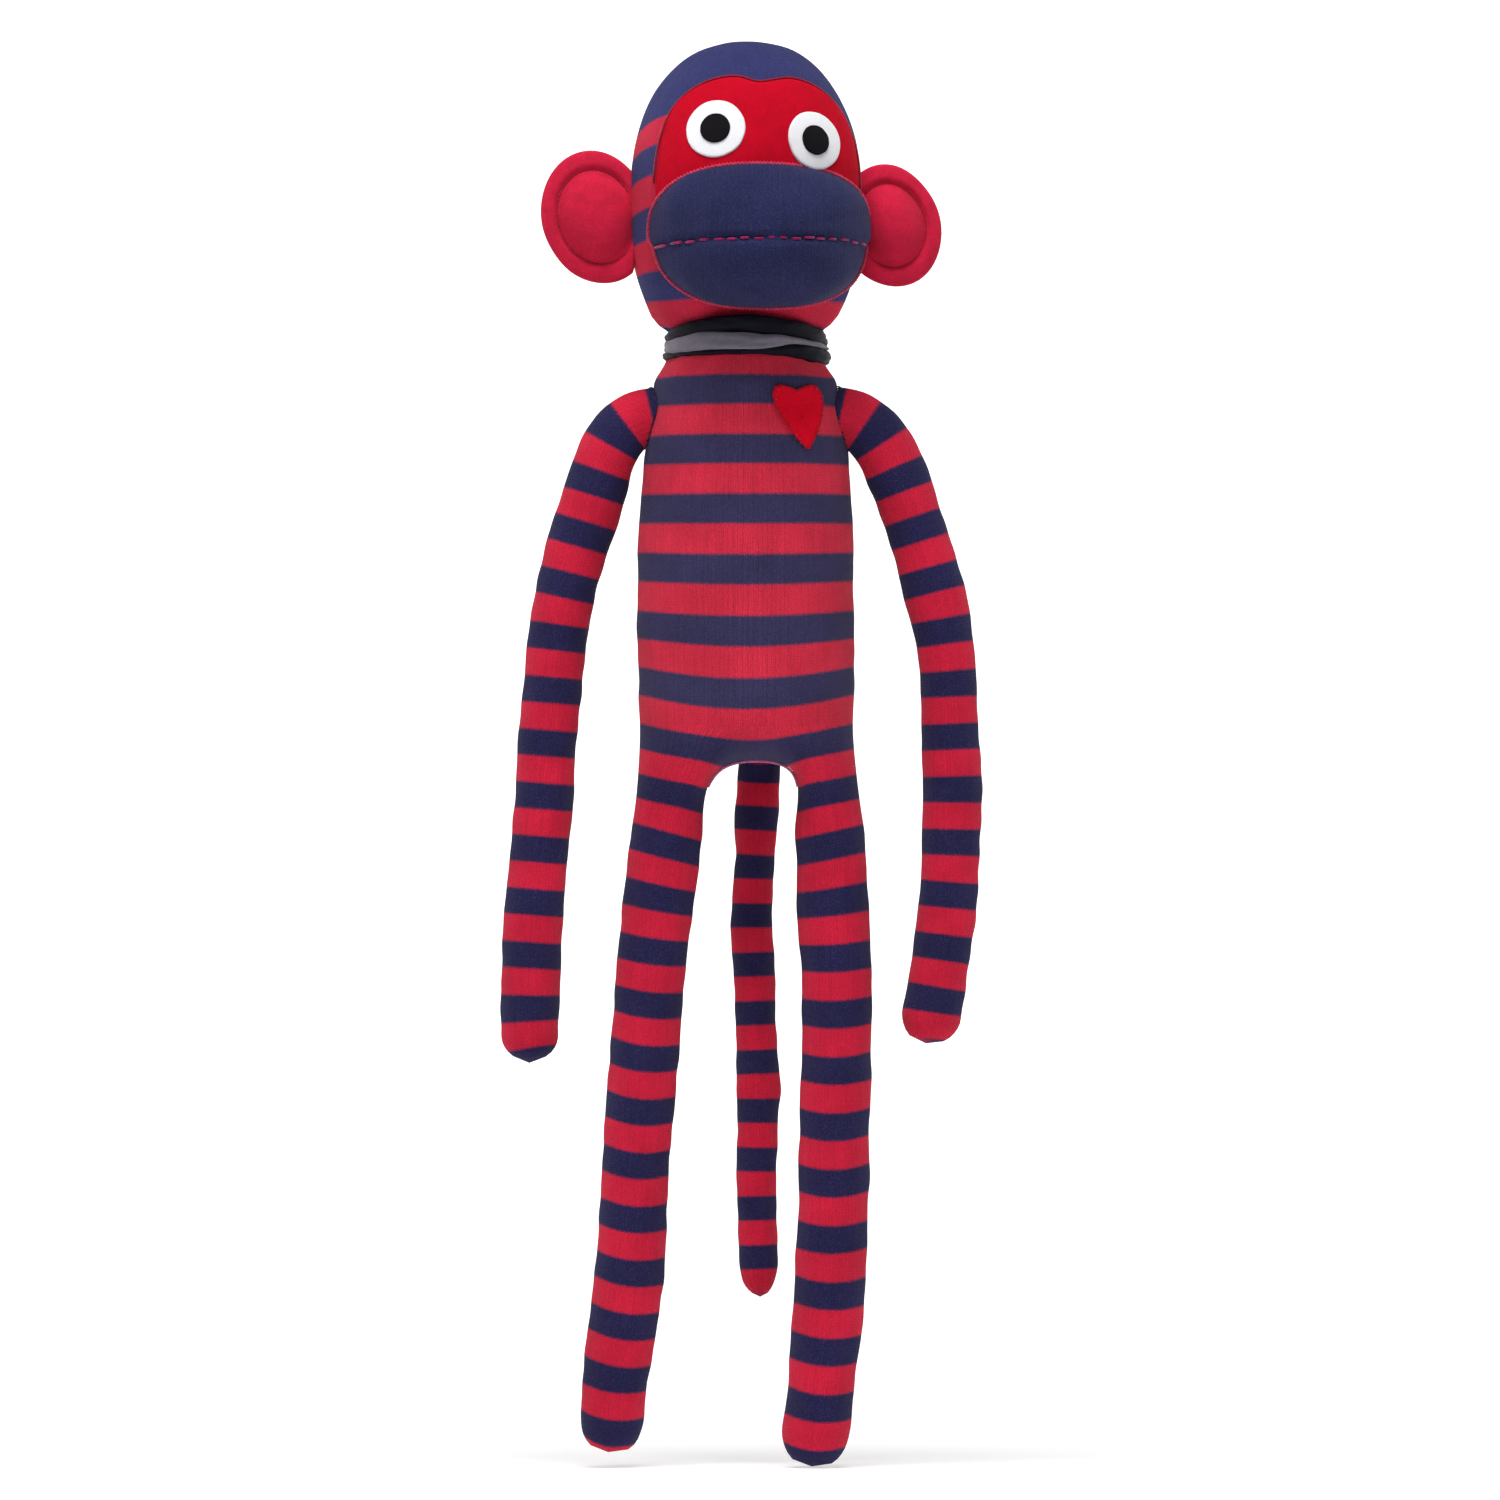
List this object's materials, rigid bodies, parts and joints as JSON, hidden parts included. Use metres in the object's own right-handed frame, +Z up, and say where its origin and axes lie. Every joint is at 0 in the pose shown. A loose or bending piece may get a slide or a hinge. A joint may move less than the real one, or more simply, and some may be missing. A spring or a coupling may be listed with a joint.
{
  "type": "stuffed sock monkey",
  "caption": "Striped knit sock monkey with long limbs, felt face, eyes, ears and heart, a sewn-on muzzle, a wound neck tie and a hanging tail.",
  "frame": {"origin": "middle of the neck, inside the neck tie, where a hand, a ribbon or a doll stand's clip holds the toy upright", "axes": "+Z up through the crown, -Y the way the face looks, +X the monkey's own left"},
  "size_m": [0.1929, 0.1122, 0.5698],
  "materials": {
    "striped_knit": "fine cotton jersey, crimson yarn-dyed stripes on navy",
    "navy_knit": "fine cotton jersey, navy",
    "stuffing": "white polyester fibre filling",
    "red_felt": "wool-look felt, red",
    "white_felt": "wool-look felt, white",
    "black_felt": "wool-look felt, black",
    "heart_felt": "wool-look felt, deep red",
    "navy_thread": "cotton sewing thread, navy",
    "crimson_thread": "cotton sewing thread, crimson",
    "navy_tie": "rolled jersey strip, near black navy",
    "grey_tie": "rolled jersey strip, grey"
  },
  "bodies": {
    "torso": {"torso_skin": "striped_knit", "torso_stuffing": "stuffing", "heart_patch": "heart_felt", "heart_stitching": "crimson_thread", "back_seam_stitching": "navy_thread", "crotch_seam_stitching": "crimson_thread", "tail_seam_stitching": "navy_thread"},
    "neck": {"neck_skin": "striped_knit", "neck_stuffing": "stuffing", "neck_tie_upper_wrap": "navy_tie", "neck_tie_grey_strip": "grey_tie", "neck_tie_lower_wrap": "navy_tie"},
    "head": {"head_skin": "striped_knit", "head_stuffing": "stuffing", "face_patch": "red_felt", "eye_white_right": "white_felt", "eye_white_left": "white_felt", "pupil_right": "black_felt", "pupil_left": "black_felt", "muzzle_skin": "navy_knit", "muzzle_stuffing": "stuffing", "muzzle_edging": "crimson_thread", "mouth_stitching": "crimson_thread"},
    "ear_right": {"ear_front_right": "red_felt", "ear_back_right": "red_felt", "ear_padding_right": "stuffing", "ear_topstitching_right": "crimson_thread"},
    "shoulder_right": {"shoulder_seam_right": "navy_thread", "shoulder_stuffing_right": "stuffing"},
    "upper_arm_right": {"upper_arm_skin_right": "striped_knit", "upper_arm_stuffing_right": "stuffing"},
    "forearm_right": {"forearm_skin_right": "striped_knit", "forearm_stuffing_right": "stuffing"},
    "hip_right": {"hip_stuffing_right": "stuffing"},
    "thigh_right": {"thigh_skin_right": "striped_knit", "thigh_stuffing_right": "stuffing"},
    "shin_right": {"shin_skin_right": "striped_knit", "shin_stuffing_right": "stuffing"},
    "ear_left": {"ear_front_left": "red_felt", "ear_back_left": "red_felt", "ear_padding_left": "stuffing", "ear_topstitching_left": "crimson_thread"},
    "shoulder_left": {"shoulder_seam_left": "navy_thread", "shoulder_stuffing_left": "stuffing"},
    "upper_arm_left": {"upper_arm_skin_left": "striped_knit", "upper_arm_stuffing_left": "stuffing"},
    "forearm_left": {"forearm_skin_left": "striped_knit", "forearm_stuffing_left": "stuffing"},
    "hip_left": {"hip_stuffing_left": "stuffing"},
    "thigh_left": {"thigh_skin_left": "striped_knit", "thigh_stuffing_left": "stuffing"},
    "shin_left": {"shin_skin_left": "striped_knit", "shin_stuffing_left": "stuffing"},
    "tail_root": {"tail_root_stuffing": "stuffing"},
    "tail_upper": {"tail_upper_skin": "striped_knit", "tail_upper_stuffing": "stuffing"},
    "tail_lower": {"tail_lower_skin": "striped_knit", "tail_lower_stuffing": "stuffing"}
  },
  "joints": [
    {"name": "head_turn", "type": "hinge", "parent": "torso", "child": "neck", "pos_m": [0, 0, 0], "axis": [0, 0, 1], "range_deg": [-40, 40], "stiffness_Nm_per_rad": 0.15},
    {"name": "head_nod", "type": "hinge", "parent": "neck", "child": "head", "pos_m": [0, 0, 0], "axis": [1, 0, 0], "range_deg": [-15, 20], "stiffness_Nm_per_rad": 0.4},
    {"name": "ear_fold_right", "type": "hinge", "parent": "head", "child": "ear_right", "pos_m": [-0.04923, -0.00517, 0.0495], "axis": [0, 0, -1], "range_deg": [-20, 20], "stiffness_Nm_per_rad": 0.02},
    {"name": "shoulder_swing_right", "type": "hinge", "parent": "torso", "child": "shoulder_right", "pos_m": [-0.053, 0, -0.037], "axis": [-1, 0, 0], "range_deg": [-40, 110]},
    {"name": "shoulder_lift_right", "type": "hinge", "parent": "shoulder_right", "child": "upper_arm_right", "pos_m": [-0.053, 0, -0.037], "axis": [0, 1, 0], "range_deg": [0, 75]},
    {"name": "elbow_bend_right", "type": "hinge", "parent": "upper_arm_right", "child": "forearm_right", "pos_m": [-0.0786, 0, -0.154], "axis": [-1, 0, 0], "range_deg": [0, 85]},
    {"name": "hip_swing_right", "type": "hinge", "parent": "torso", "child": "hip_right", "pos_m": [-0.0304, 0, -0.184], "axis": [-1, 0, 0], "range_deg": [-25, 90]},
    {"name": "hip_splay_right", "type": "hinge", "parent": "hip_right", "child": "thigh_right", "pos_m": [-0.0304, 0, -0.184], "axis": [0, 1, 0], "range_deg": [-3, 7]},
    {"name": "knee_bend_right", "type": "hinge", "parent": "thigh_right", "child": "shin_right", "pos_m": [-0.043, 0, -0.31], "axis": [1, 0, 0], "range_deg": [0, 85]},
    {"name": "ear_fold_left", "type": "hinge", "parent": "head", "child": "ear_left", "pos_m": [0.04923, 0.00517, 0.0465], "axis": [0, 0, 1], "range_deg": [-20, 20], "stiffness_Nm_per_rad": 0.02},
    {"name": "shoulder_swing_left", "type": "hinge", "parent": "torso", "child": "shoulder_left", "pos_m": [0.054, 0, -0.037], "axis": [-1, 0, 0], "range_deg": [-40, 110]},
    {"name": "shoulder_lift_left", "type": "hinge", "parent": "shoulder_left", "child": "upper_arm_left", "pos_m": [0.054, 0, -0.037], "axis": [0, -1, 0], "range_deg": [0, 75]},
    {"name": "elbow_bend_left", "type": "hinge", "parent": "upper_arm_left", "child": "forearm_left", "pos_m": [0.082, 0, -0.154], "axis": [-1, 0, 0], "range_deg": [0, 85]},
    {"name": "hip_swing_left", "type": "hinge", "parent": "torso", "child": "hip_left", "pos_m": [0.0324, 0, -0.184], "axis": [-1, 0, 0], "range_deg": [-25, 90]},
    {"name": "hip_splay_left", "type": "hinge", "parent": "hip_left", "child": "thigh_left", "pos_m": [0.0324, 0, -0.184], "axis": [0, -1, 0], "range_deg": [-3, 7]},
    {"name": "knee_bend_left", "type": "hinge", "parent": "thigh_left", "child": "shin_left", "pos_m": [0.0355, 0, -0.31], "axis": [1, 0, 0], "range_deg": [0, 85]},
    {"name": "tail_sway", "type": "hinge", "parent": "torso", "child": "tail_root", "pos_m": [0.005, 0.025, -0.18], "axis": [0, 1, 0], "range_deg": [-25, 25]},
    {"name": "tail_lift", "type": "hinge", "parent": "tail_root", "child": "tail_upper", "pos_m": [0.005, 0.025, -0.18], "axis": [-1, 0, 0], "range_deg": [-80, 0]},
    {"name": "tail_curl", "type": "hinge", "parent": "tail_upper", "child": "tail_lower", "pos_m": [0.004, 0.025, -0.274], "axis": [-1, 0, 0], "range_deg": [-75, 0]}
  ]
}
